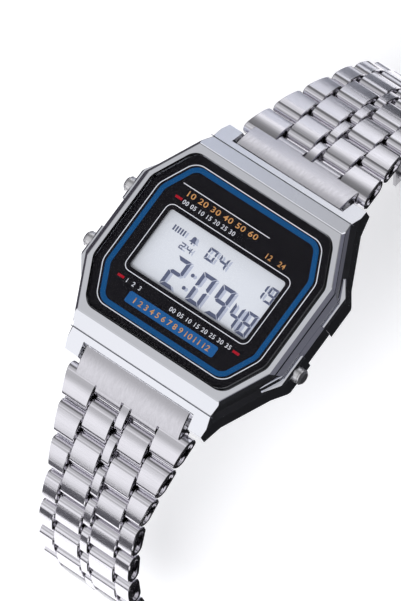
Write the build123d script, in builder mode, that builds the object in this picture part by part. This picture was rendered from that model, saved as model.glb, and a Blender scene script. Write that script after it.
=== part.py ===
from build123d import *
import os
from math import atan, cos, degrees, radians, sin

# A digital wristwatch on a metal link bracelet, unbuckled and curved as round a wrist.
# X runs to 3 o'clock, Y to 12 o'clock and Z out of the dial. The origin is the centre of
# the case back's outer face. Lengths are in millimetres and angles in degrees.

# The crystal's outline has eight sides: half its width and height, and how far out the
# diagonal sides lie. The other outlines follow from it.
diagonal_angle = 27.25
crystal_half_x = 14.45
crystal_half_y = 12.4
crystal_reach = 15.81
crystal_corner = 2.0
crest_wider_x = 0.85
crest_wider_y = 1.23
crest_wider_reach = 1.01
ridge_wider_x = 0.7
ridge_wider_y = 0.54
ridge_wider_reach = 0.43
skirt_wider_x = 0.55
skirt_wider_y = 1.43
skirt_wider_reach = 0.21
flank_wider_x = 0.2
flank_wider_reach = 0.49
cavity_inset_x = 1.05
cavity_inset_y = 1.0
cavity_inset_reach = 1.06
back_wider_x = 1.2
back_wider_y = 3.8
back_wider_reach = 1.85

# Thickness of what lies between the wrist and the front of the crystal
back_thickness = 0.9
battery_room = 0.48
board_gap = 0.12
strip_height = 1.25
display_depth = 0.7
crest_lift = 0.18
crest_drop = 0.43
ridge_drop = 1.13
shoulder_drop = 1.07
underside_drop = 0.8
crystal_thickness = 1.3

# Case body, its four lugs and the bosses round the buttons
flank_inset = 0.55
underside_inset = 0.7
lug_width = 2.2
lug_length = 2.8
hood_drop = 1.88
slot_half_x = 9.3
slot_recess = 0.9
boss_proud = 0.45
boss_inner = 2.2
boss_outer = 2.2
boss_run = 2.6
boss_below = 2.2
boss_above = 1.35
boss_edge = 0.3
boss_root = 1.5

# Crystal, printed panel and seals
crystal_bevel = 0.5
crystal_gap = 0.04
glue_line = 0.05
panel_thickness = 0.2
panel_margin = 0.1
window_half_x = 9.75
window_half_y = 4.7
window_y = -0.4
window_corner = 0.5
gasket_height = 0.25
gasket_width = 0.8
back_seal_width = 0.5
back_seal_height = 0.35
back_seal_margin = 0.25
back_seal_gap = 0.03
back_edge = 0.25

# Display module
module_gap = 0.05
display_border_x = 1.85
display_border_y = 1.9
display_thickness = 1.1
display_edge = 0.1
reflector_border_x = 0.65
reflector_border_y = 0.9
reflector_thickness = 0.3
frame_margin = 0.15
frame_room = 0.55
frame_recess = 0.35
frame_wall_x = 2.2
frame_wall_y = 2.0
pocket_corner = 0.8
board_thickness = 0.5
chip_half = 2.6
chip_height = 0.8
chip_edge = 0.3
chip_y = -1.0
strip_half_x = 9.2
strip_width = 0.6
strip_inset = 0.15
quartz_radius = 0.6
quartz_length = 5.6
quartz_x = -5.0
quartz_margin = 1.4
lead_length = 0.9
lead_radius = 0.12
lead_offset = 0.25
led_length = 1.6
led_width = 0.55
led_height = 0.85
battery_radius = 10.0
battery_height = 1.6
battery_cap_radius = 8.8
battery_step = 0.2
strap_foot = 1.6
strap_half_y = 2.6
strap_thickness = 0.12
strap_window_radius = 1.2
buzzer_radius = 7.0
buzzer_thickness = 0.12
ceramic_radius = 4.8

# Screws of the case back
screw_inset = 3.5
screw_margin = 2.0
screw_head_radius = 0.95
screw_head_height = 0.4
screw_radius = 0.5
screw_length = 2.6
screw_slot_width = 0.25
screw_slot_depth = 0.2
screw_gap = 0.03

# Buttons, from the cap's end inwards
button_y = 4.5
button_lift = 2.8
cap_proud = 1.15
cap_length = 2.15
cap_radius = 1.1
cap_gap = 0.08
cap_edge = 0.3
cap_groove_depth = 0.12
cap_groove_width = 0.25
cap_groove_inset = 0.6
spring_room = 1.2
stem_radius = 0.5
stem_gap = 0.06
stem_tip = 0.25
ring_thickness = 0.2
ring_wall_gap = 0.1
ring_radius = 0.95
ring_neck = 0.34
ring_gap = 0.02
seal_radius = 0.76
seal_wire = 0.19
seal_room = 0.04
notch_depth = 1.5
notch_half_y = 1.35
notch_half_z = 1.35
leaf_thickness = 0.12
leaf_half_y = 0.8
leaf_half_z = 0.9
spring_radius = 0.82
spring_wire = 0.08
spring_turns = 3
spring_end_gap = 0.12

# Spring bars between the lugs
bar_reach = 0.95
bar_lift = 0.9
bar_radius = 0.6
bar_end_gap = 0.2
bar_bore = 0.4
bar_gap = 0.05
tip_radius = 0.36
tip_depth = 0.9
tip_length = 3.0
tip_end_gap = 0.1

# Bracelet: columns of links across it and rows of links along it
link_radius = 1.15
link_crown = 0.12
link_edge = 0.12
pin_radius = 0.55
pin_fixed_gap = 0.02
pin_gap = 0.06
row_pitch = 2.6
rows_per_side = 13
row_taper = 0.43
tapered_rows = 5
centre_link_x = 0.7
column_gap = 0.2
inner_link_width = 4.2
outer_link_width = 5.0
pin_recess = 0.25
end_link_side_gap = 0.55
end_link_length = 2.8
end_link_gap = 0.15
end_link_drop = 0.1
end_link_crown = 0.18
end_link_hub = 0.86
notch_gap = 0.2

# The share of a flat face's normal that lies along X where the face is a link's side
side_share = 0.5

# How steeply the bracelet leaves the case, and by how much each hinge bends it further
first_angle_12 = 21.5
first_angle_6 = 30.0
bend_angle_12 = 2.4
bend_angle_6 = 2.0
bend_angle_growth_12 = 0.5
bend_angle_growth_6 = 0.4
most_bend_angle = 10.0
cover_bend_angle = 12.0
catch_bend_angle = 6.0

# Clasp on the 12 o'clock side and the catch on the other
cover_start = 1.6
cover_length = 24.0
cover_wider = 0.5
cover_high = 1.25
cover_depth = 3.1
cover_bow = 0.8
cover_sheet = 0.6
cover_edge = 0.2
knuckle_length = 2.6
blade_hinge_inset = 1.4
blade_hinge_w = -0.7
blade_knuckle_radius = 0.9
blade_pin_radius = 0.45
blade_half_x = 6.6
blade_thickness = 0.6
blade_end_u = 6.2
hook_radius = 1.1
hook_inner_radius = 0.72
hook_half_x = 2.6
hook_side_gap = 0.7
catch_length = 6.0
catch_bar_radius = 0.6
catch_thickness = 1.1

# How far cuts run past what they cut
overrun = 2.0

# The outlines from the crystal outwards, the cavity inside them and the case back
crest_half_x = crystal_half_x + crest_wider_x
crest_half_y = crystal_half_y + crest_wider_y
crest_reach = crystal_reach + crest_wider_reach
ridge_half_x = crest_half_x + ridge_wider_x
ridge_half_y = crest_half_y + ridge_wider_y
ridge_reach = crest_reach + ridge_wider_reach
skirt_half_x = ridge_half_x + skirt_wider_x
skirt_half_y = ridge_half_y + skirt_wider_y
skirt_reach = ridge_reach + skirt_wider_reach
flank_half_x = skirt_half_x + flank_wider_x
flank_reach = skirt_reach + flank_wider_reach
cavity_half_x = crystal_half_x - cavity_inset_x
cavity_half_y = crystal_half_y - cavity_inset_y
cavity_reach = crystal_reach - cavity_inset_reach
cavity = (cavity_half_x, cavity_half_y, cavity_reach)
back_half_x = cavity_half_x + back_wider_x
back_half_y = cavity_half_y + back_wider_y
back_outline = (back_half_x, back_half_y, cavity_reach + back_wider_reach)

# Heights above the case back's outer face, from the battery forwards
battery_low = back_thickness + battery_room
board_low = battery_low + battery_height + board_gap
board_top = board_low + board_thickness
display_low = board_top + strip_height
panel_back = display_low + display_thickness + display_depth
panel_front = panel_back + panel_thickness
neck_top = panel_back - gasket_height
crystal_low = panel_front + glue_line
crystal_top = crystal_low + crystal_thickness
frame_low = back_thickness + frame_room
frame_top = panel_back - frame_recess
crest_z = panel_front + crest_lift
ridge_z = crest_z - crest_drop
skirt_z = ridge_z - ridge_drop
flank_top = skirt_z - shoulder_drop
flank_low = back_thickness + underside_drop

# Places in the module
display_half_x = window_half_x + display_border_x
display_half_y = window_half_y + display_border_y
reflector_half_x = window_half_x + reflector_border_x
reflector_half_y = window_half_y + reflector_border_y
pocket_half_x = cavity_half_x - frame_wall_x
pocket_half_y = cavity_half_y - frame_wall_y
quartz_y = pocket_half_y - quartz_margin

# Places of the lugs, the spring bars and the screws
slot_wall_y = skirt_half_y + slot_recess
lug_tip_x = slot_half_x + lug_width
lug_tip_y = skirt_half_y + lug_length
hood_slope = hood_drop / lug_length
bar_y = slot_wall_y + bar_reach
bar_z = flank_low + bar_lift
bar_half_x = slot_half_x - bar_end_gap
tip_half_x = slot_half_x + tip_depth
screw_x = cavity_half_x - screw_inset
screw_y = cavity_half_y + screw_margin
screw_places = [(sx * screw_x, sy * screw_y) for sx in (1, -1) for sy in (1, -1)]

# Places of the buttons, and along one from the cap's end inwards
buttons = {
    "upper_left": (-1, button_y),
    "lower_left": (-1, -button_y),
    "lower_right": (1, -button_y),
}
button_z = back_thickness + button_lift
boss_half_x = flank_half_x + boss_proud
boss_inner_y = button_y - boss_inner
boss_outer_y = button_y + boss_outer
cap_end_x = boss_half_x + cap_proud
cap_groove_x = cap_end_x - cap_groove_inset
cap_base_x = cap_end_x - cap_length
bore_floor_x = cap_base_x - spring_room
seal_x = (bore_floor_x + cavity_half_x) / 2
ring_x = cavity_half_x - ring_wall_gap - ring_thickness
stem_end_x = ring_x - stem_tip
notch_floor_x = cavity_half_x - notch_depth

# Columns of the bracelet and places of the clasp
inner_link_start_x = centre_link_x + column_gap
inner_link_x = inner_link_start_x + inner_link_width
outer_link_x = inner_link_x + column_gap
bracelet_half_x = outer_link_x + outer_link_width
taper_reach = tapered_rows * row_pitch + 2 * link_radius
narrow_half_x = bracelet_half_x - row_taper * taper_reach / row_pitch
cover_half_x = narrow_half_x + cover_wider
end_link_half_x = slot_half_x - end_link_side_gap
blade_hinge_u = cover_length - blade_hinge_inset
catch_arm_x = hook_half_x + hook_side_gap

# Direction in which the diagonal sides of the outlines face
diagonal_across = cos(radians(diagonal_angle))
diagonal_up = sin(radians(diagonal_angle))


def octagon(half_x, half_y, reach, inset=0):
    """Corners of an eight-sided outline, all its sides moved in by inset."""
    x, y, out = half_x - inset, half_y - inset, reach - inset
    end_x = (out - y * diagonal_up) / diagonal_across
    side_y = (out - x * diagonal_across) / diagonal_up
    right = [(end_x, -y), (x, -side_y), (x, side_y), (end_x, y)]
    return right + [(-px, py) for px, py in reversed(right)]


def taper_angle(inset, height):
    """The taper that moves a side in by inset over a height."""
    return degrees(atan(inset / height))


def side_plane(side, y, z, slope, x):
    """A plane across X whose own x runs away from the case and down by slope.

    side is 1 for the 12 o'clock side and -1 for the 6 o'clock side, and y and x are given
    for the 12 o'clock side.
    """
    run = (0, side * cos(radians(slope)), -sin(radians(slope)))
    return Plane(origin=(side * x, side * y, z), x_dir=run, z_dir=(side, 0, 0))


def step(y, z, slope, u, w=0):
    """The point u along a slope from (y, z) and w out from it."""
    along = cos(radians(slope))
    down = sin(radians(slope))
    return y + u * along + w * down, z - u * down + w * along


def bar_x(radius, x_from, x_to, y, z, mode=Mode.ADD):
    """A round bar along X, added or cut."""
    with Locations(((x_from + x_to) / 2, y, z)):
        Cylinder(radius, abs(x_to - x_from), rotation=(0, 90, 0), mode=mode)


def write(piece, name):
    """Label a finished piece and write its file."""
    piece.part.label = name
    export_step(piece.part, f"parts/{name}.step")


os.makedirs("parts", exist_ok=True)

# Ends of the case's diagonal sides
root_x = (flank_reach - skirt_half_y * diagonal_up) / diagonal_across
flank_y = (flank_reach - flank_half_x * diagonal_across) / diagonal_up

with BuildSketch() as crystal_outline:
    Polygon(*octagon(crystal_half_x, crystal_half_y, crystal_reach), align=None)
    fillet(crystal_outline.vertices(), crystal_corner)

# Case body: the middle of the case with its lugs, open at the front and at the back
quarter = [(flank_half_x, flank_y), (root_x, skirt_half_y), (lug_tip_x, lug_tip_y)]
right_side = [(x, -y) for x, y in reversed(quarter)] + quarter
case_plan = right_side + [(-x, y) for x, y in reversed(right_side)]

with BuildPart() as case_body:
    with BuildSketch(Plane.XY.offset(flank_low)):
        Polygon(*case_plan, align=None)
    extrude(amount=flank_top - flank_low)
    with BuildSketch(Plane.XY.offset(flank_top)):
        Polygon(*case_plan, align=None)
    extrude(amount=skirt_z - flank_top, taper=taper_angle(flank_inset, skirt_z - flank_top))
    with BuildSketch(Plane(origin=(0, 0, flank_low), z_dir=(0, 0, -1))):
        Polygon(*case_plan, align=None)
    underside = flank_low - back_thickness
    extrude(amount=underside, taper=taper_angle(underside_inset, underside))
    # bosses that guard the buttons, one on each side of both flanks
    root = flank_half_x - boss_root
    with BuildSketch(Plane.XY.offset(button_z - boss_below)):
        for sx in (1, -1):
            for sy in (1, -1):
                boss = [
                    (root, boss_inner_y),
                    (boss_half_x, boss_inner_y),
                    (boss_half_x, boss_outer_y),
                    (root, boss_outer_y + boss_run),
                ]
                Polygon(*[(sx * x, sy * y) for x, y in boss], align=None)
    extrude(amount=boss_below + boss_above)
    rims = [e for e in case_body.edges().filter_by(Axis.Y) if abs(e.center().X) > flank_half_x]
    chamfer(rims, boss_edge)
    # neck that carries the crystal's gasket inside the bezel
    with BuildSketch(Plane.XY.offset(skirt_z)):
        add(crystal_outline.sketch)
        offset(amount=-crystal_gap)
    extrude(amount=neck_top - skirt_z)
    # the hoods over the lugs fall away from the bezel
    hood_end = lug_tip_y + overrun
    hood_cut = [
        (skirt_half_y, skirt_z),
        (hood_end, skirt_z - hood_slope * (hood_end - skirt_half_y)),
        (hood_end, skirt_z + overrun),
        (skirt_half_y, skirt_z + overrun),
    ]
    for side in (1, -1):
        with BuildSketch(side_plane(side, 0, 0, 0, -boss_half_x)):
            Polygon(*hood_cut, align=None)
        extrude(amount=2 * boss_half_x, mode=Mode.SUBTRACT)
    # slots between the lugs for the bracelet's end links, and holes for the spring bars
    slot_length = lug_tip_y + overrun - slot_wall_y
    for side in (1, -1):
        with BuildSketch():
            with Locations((0, side * (slot_wall_y + slot_length / 2))):
                Rectangle(2 * slot_half_x, slot_length)
        extrude(amount=crystal_top, mode=Mode.SUBTRACT)
        hole_x = tip_half_x + tip_end_gap
        bar_x(tip_radius + bar_gap, -hole_x, hole_x, side * bar_y, bar_z, Mode.SUBTRACT)
    # cavity for the module, with a groove round it for the back seal
    with BuildSketch():
        Polygon(*octagon(*cavity), align=None)
    extrude(amount=crystal_top, mode=Mode.SUBTRACT)
    with BuildSketch(Plane.XY.offset(back_thickness)):
        Polygon(*octagon(*cavity, -back_seal_margin - back_seal_width), align=None)
        Polygon(*octagon(*cavity, -back_seal_margin), align=None, mode=Mode.SUBTRACT)
    extrude(amount=back_seal_height, mode=Mode.SUBTRACT)
    # bores for the buttons: a wide one for the cap, a narrow one for the stem, a seal groove
    for side, y in buttons.values():
        past = side * (boss_half_x + overrun)
        bar_x(cap_radius + cap_gap, side * bore_floor_x, past, y, button_z, Mode.SUBTRACT)
        inside = side * (cavity_half_x - overrun)
        bar_x(stem_radius + stem_gap, inside, past, y, button_z, Mode.SUBTRACT)
        groove = seal_wire + seal_room
        groove_ends = (side * (seal_x - groove), side * (seal_x + groove))
        groove_radius = seal_radius + seal_wire + seal_room
        bar_x(groove_radius, *groove_ends, y, button_z, Mode.SUBTRACT)
    # blind holes for the screws of the back
    with BuildSketch(Plane.XY.offset(back_thickness)):
        with Locations(*screw_places):
            Circle(screw_radius + screw_gap)
    extrude(amount=screw_length, mode=Mode.SUBTRACT)
write(case_body, "case_body")

# Bezel: a sloping eight-sided ring round the crystal
with BuildPart() as bezel:
    with BuildSketch(Plane.XY.offset(skirt_z)):
        Polygon(*octagon(skirt_half_x, skirt_half_y, skirt_reach), align=None)
    with BuildSketch(Plane.XY.offset(ridge_z)):
        Polygon(*octagon(ridge_half_x, ridge_half_y, ridge_reach), align=None)
    with BuildSketch(Plane.XY.offset(crest_z)):
        Polygon(*octagon(crest_half_x, crest_half_y, crest_reach), align=None)
    loft(ruled=True)
    with BuildSketch(Plane.XY.offset(skirt_z)):
        add(crystal_outline.sketch)
        offset(amount=crystal_gap)
    extrude(amount=crest_z - skirt_z, mode=Mode.SUBTRACT)
write(bezel, "bezel")

# Crystal: a flat glass with a bevel round its front
with BuildPart() as crystal:
    with BuildSketch(Plane.XY.offset(crystal_low)):
        add(crystal_outline.sketch)
    extrude(amount=crystal_top - crystal_low)
    chamfer(crystal.faces().sort_by(Axis.Z)[-1].edges(), crystal_bevel)
write(crystal, "crystal")

# Gasket between the crystal and the neck of the case
with BuildPart() as crystal_gasket:
    with BuildSketch(Plane.XY.offset(neck_top)):
        add(crystal_outline.sketch)
        offset(amount=-panel_margin)
    extrude(amount=gasket_height)
    with BuildSketch(Plane.XY.offset(neck_top)):
        add(crystal_outline.sketch)
        offset(amount=-panel_margin - gasket_width)
    extrude(amount=gasket_height, mode=Mode.SUBTRACT)
write(crystal_gasket, "crystal_gasket")

# Printed panel under the crystal, with the window of the display
with BuildPart() as dial_panel:
    with BuildSketch(Plane.XY.offset(panel_back)):
        add(crystal_outline.sketch)
        offset(amount=-panel_margin)
    extrude(amount=panel_thickness)
    with BuildSketch(Plane.XY.offset(panel_back)):
        with Locations((0, window_y)):
            RectangleRounded(2 * window_half_x, 2 * window_half_y, window_corner)
    extrude(amount=panel_thickness, mode=Mode.SUBTRACT)
write(dial_panel, "dial_panel")

# Liquid crystal display and the reflector behind it
with BuildPart() as lcd_glass:
    with BuildSketch(Plane.XY.offset(display_low)):
        with Locations((0, window_y)):
            Rectangle(2 * display_half_x, 2 * display_half_y)
    extrude(amount=display_thickness)
    chamfer(lcd_glass.faces().sort_by(Axis.Z)[-1].edges(), display_edge)
write(lcd_glass, "lcd_glass")

with BuildPart() as lcd_reflector:
    with BuildSketch(Plane.XY.offset(display_low - module_gap - reflector_thickness)):
        with Locations((0, window_y)):
            Rectangle(2 * reflector_half_x, 2 * reflector_half_y)
    extrude(amount=reflector_thickness)
write(lcd_reflector, "lcd_reflector")

# Lamp that lights the reflector from its left end
with BuildPart() as backlight_led:
    with BuildSketch(Plane.XY.offset(board_top)):
        with Locations((-reflector_half_x - module_gap - led_width / 2, window_y)):
            Rectangle(led_width, led_length)
    extrude(amount=led_height)
write(backlight_led, "backlight_led")

# Elastic connector strips from the board to the display's two long edges
with BuildPart() as connector_strips:
    strip_y = display_half_y - strip_inset - strip_width / 2
    with BuildSketch(Plane.XY.offset(board_top)):
        with Locations((0, window_y + strip_y), (0, window_y - strip_y)):
            Rectangle(2 * strip_half_x, strip_width)
    extrude(amount=display_low - board_top)
write(connector_strips, "connector_strips")

# Circuit board, the chip under its drop of resin, and the quartz crystal in its can
with BuildPart() as circuit_board:
    with BuildSketch(Plane.XY.offset(board_low)):
        board_size = (2 * (pocket_half_x - module_gap), 2 * (pocket_half_y - module_gap))
        RectangleRounded(*board_size, pocket_corner)
    extrude(amount=board_thickness)
write(circuit_board, "circuit_board")

with BuildPart() as driver_chip:
    with BuildSketch(Plane.XY.offset(board_top)):
        with Locations((0, chip_y)):
            Rectangle(2 * chip_half, 2 * chip_half)
    extrude(amount=chip_height)
    fillet(driver_chip.edges().group_by(Axis.Z)[-1], chip_edge)
write(driver_chip, "driver_chip")

with BuildPart() as quartz_can:
    can_z = board_top + quartz_radius
    can_ends = (quartz_x - quartz_length / 2, quartz_x + quartz_length / 2)
    bar_x(quartz_radius, *can_ends, quartz_y, can_z)
    for lead_y in (quartz_y + lead_offset, quartz_y - lead_offset):
        bar_x(lead_radius, can_ends[1], can_ends[1] + lead_length, lead_y, can_z)
write(quartz_can, "quartz_can")

# Frame that holds the display above, the board in the middle and the battery below
with BuildPart() as module_frame:
    with BuildSketch(Plane.XY.offset(frame_low)):
        Polygon(*octagon(*cavity, frame_margin), align=None)
    extrude(amount=frame_top - frame_low)
    with BuildSketch(Plane.XY.offset(frame_low)):
        Circle(battery_radius + frame_margin)
    extrude(amount=board_low - frame_low, mode=Mode.SUBTRACT)
    with BuildSketch(Plane.XY.offset(board_low - module_gap)):
        RectangleRounded(2 * pocket_half_x, 2 * pocket_half_y, pocket_corner)
    extrude(amount=display_low - board_low, mode=Mode.SUBTRACT)
    with BuildSketch(Plane.XY.offset(display_low - module_gap)):
        with Locations((0, window_y)):
            pocket = (2 * (display_half_x + module_gap), 2 * (display_half_y + module_gap))
            Rectangle(*pocket)
    extrude(amount=frame_top - display_low + module_gap, mode=Mode.SUBTRACT)
    for side, y in buttons.values():
        notch_x = side * (notch_floor_x + overrun / 2)
        with Locations((notch_x, y, button_z)):
            Box(overrun, 2 * notch_half_y, 2 * notch_half_z, mode=Mode.SUBTRACT)
write(module_frame, "module_frame")

# Spring leaves that the button stems press
with BuildPart() as button_contacts:
    for side, y in buttons.values():
        with Locations((side * (notch_floor_x + leaf_thickness / 2), y, button_z)):
            Box(leaf_thickness, 2 * leaf_half_y, 2 * leaf_half_z)
write(button_contacts, "button_contacts")

# Button cell, the strap that holds it, and the buzzer disc on the case back
with BuildPart() as battery:
    with BuildSketch(Plane.XY.offset(battery_low + battery_step)):
        Circle(battery_radius)
    extrude(amount=battery_height - battery_step)
    with BuildSketch(Plane.XY.offset(battery_low)):
        Circle(battery_cap_radius)
    extrude(amount=battery_step)
write(battery, "battery")

with BuildPart() as battery_strap:
    with BuildSketch(Plane.XY.offset(battery_low - module_gap - strap_thickness)):
        Rectangle(2 * (battery_radius + strap_foot), 2 * strap_half_y)
        Circle(strap_window_radius, mode=Mode.SUBTRACT)
    extrude(amount=strap_thickness)
write(battery_strap, "battery_strap")

with BuildPart() as buzzer_disc:
    with BuildSketch(Plane.XY.offset(back_thickness)):
        Circle(buzzer_radius)
    extrude(amount=buzzer_thickness)
    with BuildSketch(Plane.XY.offset(back_thickness + buzzer_thickness)):
        Circle(ceramic_radius)
    extrude(amount=buzzer_thickness)
write(buzzer_disc, "buzzer_disc")

# Case back, its seal and its four screws
with BuildPart() as case_back:
    with BuildSketch():
        Polygon(*octagon(*back_outline), align=None)
    extrude(amount=back_thickness)
    chamfer(case_back.faces().sort_by(Axis.Z)[0].edges(), back_edge)
    with BuildSketch():
        with Locations(*screw_places):
            Circle(screw_head_radius + screw_gap)
    extrude(amount=screw_head_height + screw_gap, mode=Mode.SUBTRACT)
    with BuildSketch():
        with Locations(*screw_places):
            Circle(screw_radius + screw_gap)
    extrude(amount=back_thickness, mode=Mode.SUBTRACT)
write(case_back, "case_back")

with BuildPart() as back_seal:
    with BuildSketch(Plane.XY.offset(back_thickness)):
        outer_margin = back_seal_margin + back_seal_width - back_seal_gap
        Polygon(*octagon(*cavity, -outer_margin), align=None)
        inner_margin = back_seal_margin + back_seal_gap
        Polygon(*octagon(*cavity, -inner_margin), align=None, mode=Mode.SUBTRACT)
    extrude(amount=back_seal_height - back_seal_gap)
write(back_seal, "back_seal")

with BuildPart() as case_back_screws:
    with BuildSketch(Plane.XY.offset(screw_gap)):
        with Locations(*screw_places):
            Circle(screw_head_radius)
    extrude(amount=screw_head_height)
    with BuildSketch(Plane.XY.offset(screw_gap)):
        with Locations(*screw_places):
            Circle(screw_radius)
    extrude(amount=screw_length)
    with BuildSketch(Plane.XY.offset(screw_gap)):
        with Locations(*screw_places):
            Rectangle(2 * screw_head_radius, screw_slot_width)
    extrude(amount=screw_slot_depth, mode=Mode.SUBTRACT)
write(case_back_screws, "case_back_screws")

# Buttons: a turned pusher, with a retaining ring on its stem inside the case
pusher_profile = [
    (stem_end_x, 0),
    (stem_end_x, stem_radius),
    (ring_x - ring_gap, stem_radius),
    (ring_x - ring_gap, ring_neck),
    (ring_x + ring_thickness + ring_gap, ring_neck),
    (ring_x + ring_thickness + ring_gap, stem_radius),
    (cap_base_x, stem_radius),
    (cap_base_x, cap_radius),
    (cap_groove_x, cap_radius),
    (cap_groove_x, cap_radius - cap_groove_depth),
    (cap_groove_x + cap_groove_width, cap_radius - cap_groove_depth),
    (cap_groove_x + cap_groove_width, cap_radius),
    (cap_end_x - cap_edge, cap_radius),
    (cap_end_x, cap_radius - cap_edge),
    (cap_end_x, 0),
]

for place, (side, y) in buttons.items():
    with BuildPart() as button:
        with BuildSketch(Plane(origin=(0, y, button_z), x_dir=(side, 0, 0), z_dir=(0, 1, 0))):
            Polygon(*pusher_profile, align=None)
        revolve(axis=Axis((0, y, button_z), (1, 0, 0)))
        with BuildSketch(Plane(origin=(side * ring_x, y, button_z), z_dir=(side, 0, 0))):
            Circle(ring_radius)
            Circle(ring_neck + ring_gap, mode=Mode.SUBTRACT)
            with Locations((ring_radius, 0)):
                Rectangle(2 * ring_radius, 2 * ring_neck, mode=Mode.SUBTRACT)
        extrude(amount=ring_thickness)
    write(button, f"button_{place}")

    spring_start = bore_floor_x + spring_end_gap
    spring_length = cap_base_x - spring_end_gap - spring_start
    with BuildPart() as spring:
        with BuildLine() as coil:
            Helix(
                pitch=spring_length / spring_turns,
                height=spring_length,
                radius=spring_radius,
                center=(side * spring_start, y, button_z),
                direction=(side, 0, 0),
            )
        with BuildSketch(Plane(origin=coil.line @ 0, z_dir=coil.line % 0)):
            Circle(spring_wire)
        sweep(is_frenet=True)
    write(spring, f"spring_{place}")

# Seals round the stems
with BuildPart() as button_seals:
    for side, y in buttons.values():
        with Locations((side * seal_x, y, button_z)):
            Torus(seal_radius, seal_wire, rotation=(0, 90, 0))
write(button_seals, "button_seals")

# Spring bars: a tube between the lugs with a sprung tip at each end
with BuildPart() as spring_bars:
    for side in (1, -1):
        bar_x(bar_radius, -bar_half_x, bar_half_x, side * bar_y, bar_z)
    for side in (1, -1):
        bar_x(bar_bore, -bar_half_x, bar_half_x, side * bar_y, bar_z, Mode.SUBTRACT)
    for side in (1, -1):
        for sx in (1, -1):
            tip_ends = (sx * (tip_half_x - tip_length), sx * tip_half_x)
            bar_x(tip_radius, *tip_ends, side * bar_y, bar_z)
write(spring_bars, "spring_bars")


def end_link(side, slope):
    """End link in the slot between two lugs, turning on the spring bar.

    Its two tabs take the first pin of the bracelet, and the links beside them lie in
    round notches about that pin.
    """
    hood_z = skirt_z - hood_slope * (slot_wall_y - skirt_half_y)
    inner = (slot_wall_y + end_link_gap, hood_z - end_link_drop)
    pin = step(bar_y, bar_z, slope, end_link_length)
    top = step(*pin, slope, 0, link_radius)
    crown_y, crown_z = (inner[0] + top[0]) / 2, (inner[1] + top[1]) / 2
    crown = (crown_y + end_link_crown / 2, crown_z + end_link_crown)
    with BuildPart() as link:
        with BuildSketch(side_plane(side, 0, 0, 0, -end_link_half_x)):
            with BuildLine():
                ThreePointArc(inner, crown, top)
                bottom = step(*pin, slope, 0, -link_radius)
                ThreePointArc(top, step(*pin, slope, link_radius), bottom)
                hub_bottom = step(bar_y, bar_z, slope, 0, -end_link_hub)
                Line(bottom, hub_bottom)
                hub_side = (bar_y - end_link_hub, bar_z)
                hub_middle = step(bar_y, bar_z, (slope + 90) / 2, 0, -end_link_hub)
                ThreePointArc(hub_bottom, hub_middle, hub_side)
                Line(hub_side, inner)
            make_face()
        extrude(amount=2 * end_link_half_x)
        arcs = link.faces().filter_by(Axis.X).edges().filter_by(GeomType.CIRCLE)
        chamfer(arcs.sort_by(SortBy.LENGTH)[-2:], link_edge)
        reach = link_radius + notch_gap
        y, z = side * pin[0], pin[1]
        bar_x(reach, -inner_link_start_x, inner_link_start_x, y, z, Mode.SUBTRACT)
        for sx in (1, -1):
            bar_x(reach, sx * inner_link_x, sx * bracelet_half_x, y, z, Mode.SUBTRACT)
        bar_x(pin_radius + pin_gap, -inner_link_x, inner_link_x, y, z, Mode.SUBTRACT)
        hub_x = end_link_half_x + overrun
        bar_x(bar_radius + bar_gap, -hub_x, hub_x, side * bar_y, bar_z, Mode.SUBTRACT)
    return link, pin


def half_x_at(reach):
    """Half the bracelet's width at a distance from the first outer links' near ends."""
    return bracelet_half_x - row_taper * min(reach, taper_reach) / row_pitch


def link_row(side, y, z, slope, columns, gap, pinned, reach):
    """One row of folded links, each an open sleeve round its two pins.

    columns are the stretches of X that the links fill, gap is their clearance round the
    pins, and a pinned row also holds its own two pins and follows the bracelet's taper.
    reach is the distance of its near end from the first outer links' near ends.
    """
    end = row_pitch
    far_reach = reach + end + 2 * link_radius
    # the row seen from outside: its own x is X, and its own y runs to 12 o'clock
    facing = (0, side * sin(radians(slope)), cos(radians(slope)))
    across = Plane(origin=(0, side * y, z), x_dir=(1, 0, 0), z_dir=facing)
    # the crown is an arc that meets both round ends smoothly
    crown_depth = ((end / 2) ** 2 - link_crown**2) / (2 * link_crown)
    tilt = atan(end / 2 / crown_depth)
    left = (-link_radius * sin(tilt), link_radius * cos(tilt))
    right = (end - left[0], left[1])
    with BuildPart() as row:
        for x_from, x_to in columns:
            with BuildSketch(side_plane(side, y, z, slope, x_from)):
                with BuildLine():
                    ThreePointArc(left, (-link_radius, 0), (0, -link_radius))
                    Line((0, -link_radius), (end, -link_radius))
                    ThreePointArc((end, -link_radius), (end + link_radius, 0), right)
                    ThreePointArc(right, (end / 2, link_radius + link_crown), left)
                make_face()
            extrude(amount=x_to - x_from)
        if pinned and reach < taper_reach:
            near_y, far_y = -side * link_radius, side * (end + link_radius)
            with BuildSketch(across):
                for sx in (1, -1):
                    near, far = (sx * half_x_at(reach), near_y), (sx * half_x_at(far_reach), far_y)
                    out_x = sx * (bracelet_half_x + overrun)
                    Polygon(near, (out_x, near_y), (out_x, far_y), far, align=None)
            extrude(amount=link_radius + overrun, both=True, mode=Mode.SUBTRACT)
        flat = row.faces().filter_by(GeomType.PLANE)
        chamfer(flat.filter_by(lambda face: abs(face.normal_at().X) > side_share).edges(), link_edge)
        for x_from, x_to in columns:
            with BuildSketch(side_plane(side, y, z, slope, x_from)):
                with Locations((end / 2, 0)):
                    SlotCenterToCenter(end, 2 * (pin_radius + gap))
            extrude(amount=x_to - x_from, mode=Mode.SUBTRACT)
        if pinned:
            for u in (0, end):
                pin_x = half_x_at(reach + link_radius + u) - pin_recess
                pin_y, pin_z = step(y, z, slope, u)
                bar_x(pin_radius, -pin_x, pin_x, side * pin_y, pin_z)
    return row


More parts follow.
